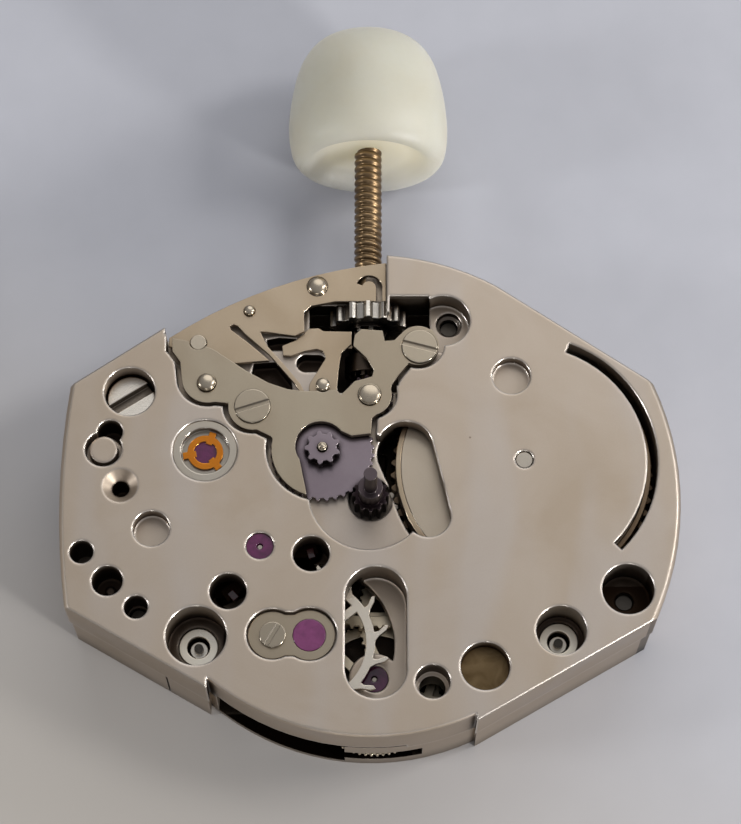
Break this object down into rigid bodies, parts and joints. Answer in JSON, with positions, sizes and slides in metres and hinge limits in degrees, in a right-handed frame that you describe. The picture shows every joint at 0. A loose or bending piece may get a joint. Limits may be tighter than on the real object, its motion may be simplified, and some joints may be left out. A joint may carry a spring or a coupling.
{
  "type": "watch movement",
  "caption": "Manual wind watch movement seen from the dial side, with keyless work, motion work, going train, barrel and balance, and a handling knob screwed on the winding stem.",
  "frame": {"origin": "on the axis of the hands, level with the dial seat of the main plate", "axes": "+Z along the axis of the hands, out of the dial side; +Y towards the winding stem and its knob; +X to the right in the picture"},
  "size_m": [0.0192, 0.0241, 0.0058],
  "materials": {
    "nickel": "fine matt nickel plating",
    "cover_steel": "satin steel",
    "warm_steel": "satin steel with a warm tint",
    "steel": "turned steel",
    "dark_steel": "dark hardened steel",
    "purple_steel": "dark steel with a violet tint",
    "blue_screw": "polished steel",
    "gilt": "gilt brass",
    "brass_dull": "dull brass",
    "ruby": "polished synthetic ruby",
    "gold_spring": "gold plated spring",
    "blue_spring": "blued spring alloy",
    "knob_plastic": "pale moulded plastic"
  },
  "bodies": {
    "frame": {"main_plate": "nickel", "keyless_cover": "cover_steel", "cover_screws": "cover_steel", "spring_plate": "warm_steel", "locating_pins": "cover_steel", "lever_pivots": "cover_steel", "wheel_studs": "cover_steel", "shock_blocks": "nickel", "shock_springs": "gold_spring", "shock_cap_jewels": "ruby", "escape_cap_plate": "cover_steel", "escape_cap_jewel": "ruby", "escape_cap_screw": "cover_steel", "plate_jewels": "ruby", "brass_plug": "brass_dull", "case_screw": "cover_steel", "steady_tubes": "brass_dull", "hairspring": "blue_spring", "hairspring_stud": "steel", "pallet_bridge": "nickel", "train_bridge": "nickel", "barrel_bridge": "nickel", "balance_cock": "nickel", "bridge_screws": "blue_screw", "bridge_jewels": "ruby", "crown_core": "steel", "click_spring": "steel", "winding_screws": "blue_screw"},
    "winding": {"winding_pinion": "steel"},
    "stem": {"stem": "steel", "stem_knob": "knob_plastic"},
    "clutch": {"clutch": "steel"},
    "setting_lever": {"setting_lever": "steel"},
    "yoke": {"yoke": "warm_steel"},
    "ratchet": {"ratchet_wheel": "steel", "ratchet_screw": "blue_screw", "barrel_arbor": "steel"},
    "crown": {"crown_wheel": "steel"},
    "click": {"click": "steel"},
    "barrel": {"barrel_drum": "gilt", "barrel_lid": "nickel", "mainspring": "blue_spring"},
    "centre": {"centre_wheel": "gilt", "centre_arbor": "steel", "cannon_pinion": "dark_steel"},
    "third": {"third_wheel": "gilt", "third_arbor": "steel"},
    "fourth": {"fourth_wheel": "gilt", "fourth_arbor": "steel"},
    "escape": {"escape_wheel": "steel", "escape_arbor": "steel"},
    "pallet": {"pallet_fork": "steel", "pallet_stones": "ruby", "pallet_arbor": "steel"},
    "balance": {"balance_wheel": "gilt", "balance_staff": "steel", "impulse_roller": "steel"},
    "minute": {"minute_wheel": "purple_steel"},
    "setting": {"setting_wheel": "dark_steel"},
    "regulator": {"regulator_index": "steel"}
  },
  "joints": [
    {"name": "ratchet_spin", "type": "hinge", "parent": "frame", "child": "ratchet", "pos_m": [0.00478, 0.0011, 0], "axis": [0, 0, 1], "continuous": true},
    {"name": "crown_spin", "type": "hinge", "parent": "frame", "child": "crown", "pos_m": [-0.00008, 0.0045, 0], "axis": [0, 0, 1], "continuous": true},
    {"name": "stem_spin", "type": "hinge", "parent": "frame", "child": "winding", "pos_m": [-0.00008, 0, -0.0014], "axis": [0, 1, 0], "continuous": true},
    {"name": "stem_pull", "type": "slide", "parent": "winding", "child": "stem", "axis": [0, 1, 0], "range_m": [0, 0.0005]},
    {"name": "clutch_slide", "type": "slide", "parent": "winding", "child": "clutch", "axis": [0, 1, 0], "range_m": [-0.0005, 0]},
    {"name": "setting_lever_swing", "type": "hinge", "parent": "frame", "child": "setting_lever", "pos_m": [-0.0017, 0.00705, 0], "axis": [0, 0, 1], "range_deg": [0, 22.85]},
    {"name": "yoke_swing", "type": "hinge", "parent": "frame", "child": "yoke", "pos_m": [-0.0015, 0.00365, 0], "axis": [0, 0, 1], "range_deg": [-25.33, 0]},
    {"name": "click_lift", "type": "hinge", "parent": "frame", "child": "click", "pos_m": [0.00397, 0.00567, 0], "axis": [0, 0, 1], "range_deg": [0, 12], "stiffness_Nm_per_rad": 0.000002, "springref_deg": -1.15},
    {"name": "fourth_spin", "type": "hinge", "parent": "frame", "child": "fourth", "pos_m": [0.00012, -0.00557, 0], "axis": [0, 0, 1], "continuous": true},
    {"name": "escape_spin", "type": "hinge", "parent": "frame", "child": "escape", "pos_m": [-0.00188, -0.0045, 0], "axis": [0, 0, 1], "continuous": true},
    {"name": "third_spin", "type": "hinge", "parent": "frame", "child": "third", "pos_m": [0.0026, -0.0033, 0], "axis": [0, 0, 1], "continuous": true},
    {"name": "centre_spin", "type": "hinge", "parent": "frame", "child": "centre", "pos_m": [0, 0, 0], "axis": [0, 0, 1], "continuous": true},
    {"name": "barrel_spin", "type": "hinge", "parent": "frame", "child": "barrel", "pos_m": [0.00478, 0.0011, 0], "axis": [0, 0, 1], "continuous": true},
    {"name": "minute_spin", "type": "hinge", "parent": "frame", "child": "minute", "pos_m": [-0.0015, 0.0015, 0], "axis": [0, 0, 1], "continuous": true},
    {"name": "setting_spin", "type": "hinge", "parent": "frame", "child": "setting", "pos_m": [-0.00003, 0.00329, 0], "axis": [0, 0, 1], "continuous": true},
    {"name": "balance_swing", "type": "hinge", "parent": "frame", "child": "balance", "pos_m": [-0.00515, 0.0014, 0], "axis": [0, 0, 1], "range_deg": [-270, 270], "stiffness_Nm_per_rad": 0.00000006},
    {"name": "pallet_swing", "type": "hinge", "parent": "frame", "child": "pallet", "pos_m": [-0.0034, -0.0017, 0], "axis": [0, 0, 1], "range_deg": [-5, 5]},
    {"name": "regulator_turn", "type": "hinge", "parent": "frame", "child": "regulator", "pos_m": [-0.00515, 0.0014, 0], "axis": [0, 0, 1], "range_deg": [-20, 20]}
  ],
  "couplings": [
    {"joint": "crown_spin", "follows": "ratchet_spin", "ratio": -2},
    {"joint": "stem_spin", "follows": "ratchet_spin", "ratio": -2.8571},
    {"joint": "escape_spin", "follows": "fourth_spin", "ratio": -10},
    {"joint": "third_spin", "follows": "fourth_spin", "ratio": -0.13333},
    {"joint": "centre_spin", "follows": "fourth_spin", "ratio": 0.016667},
    {"joint": "barrel_spin", "follows": "fourth_spin", "ratio": -0.0033333},
    {"joint": "minute_spin", "follows": "fourth_spin", "ratio": -0.0055556},
    {"joint": "setting_spin", "follows": "fourth_spin", "ratio": 0.0125},
    {"joint": "pallet_swing", "follows": "balance_swing", "ratio": -0.0185},
    {"joint": "clutch_slide", "follows": "stem_pull", "ratio": -1},
    {"joint": "setting_lever_swing", "follows": "stem_pull", "rad_per_m": 795.84},
    {"joint": "yoke_swing", "follows": "stem_pull", "rad_per_m": -882.53}
  ]
}
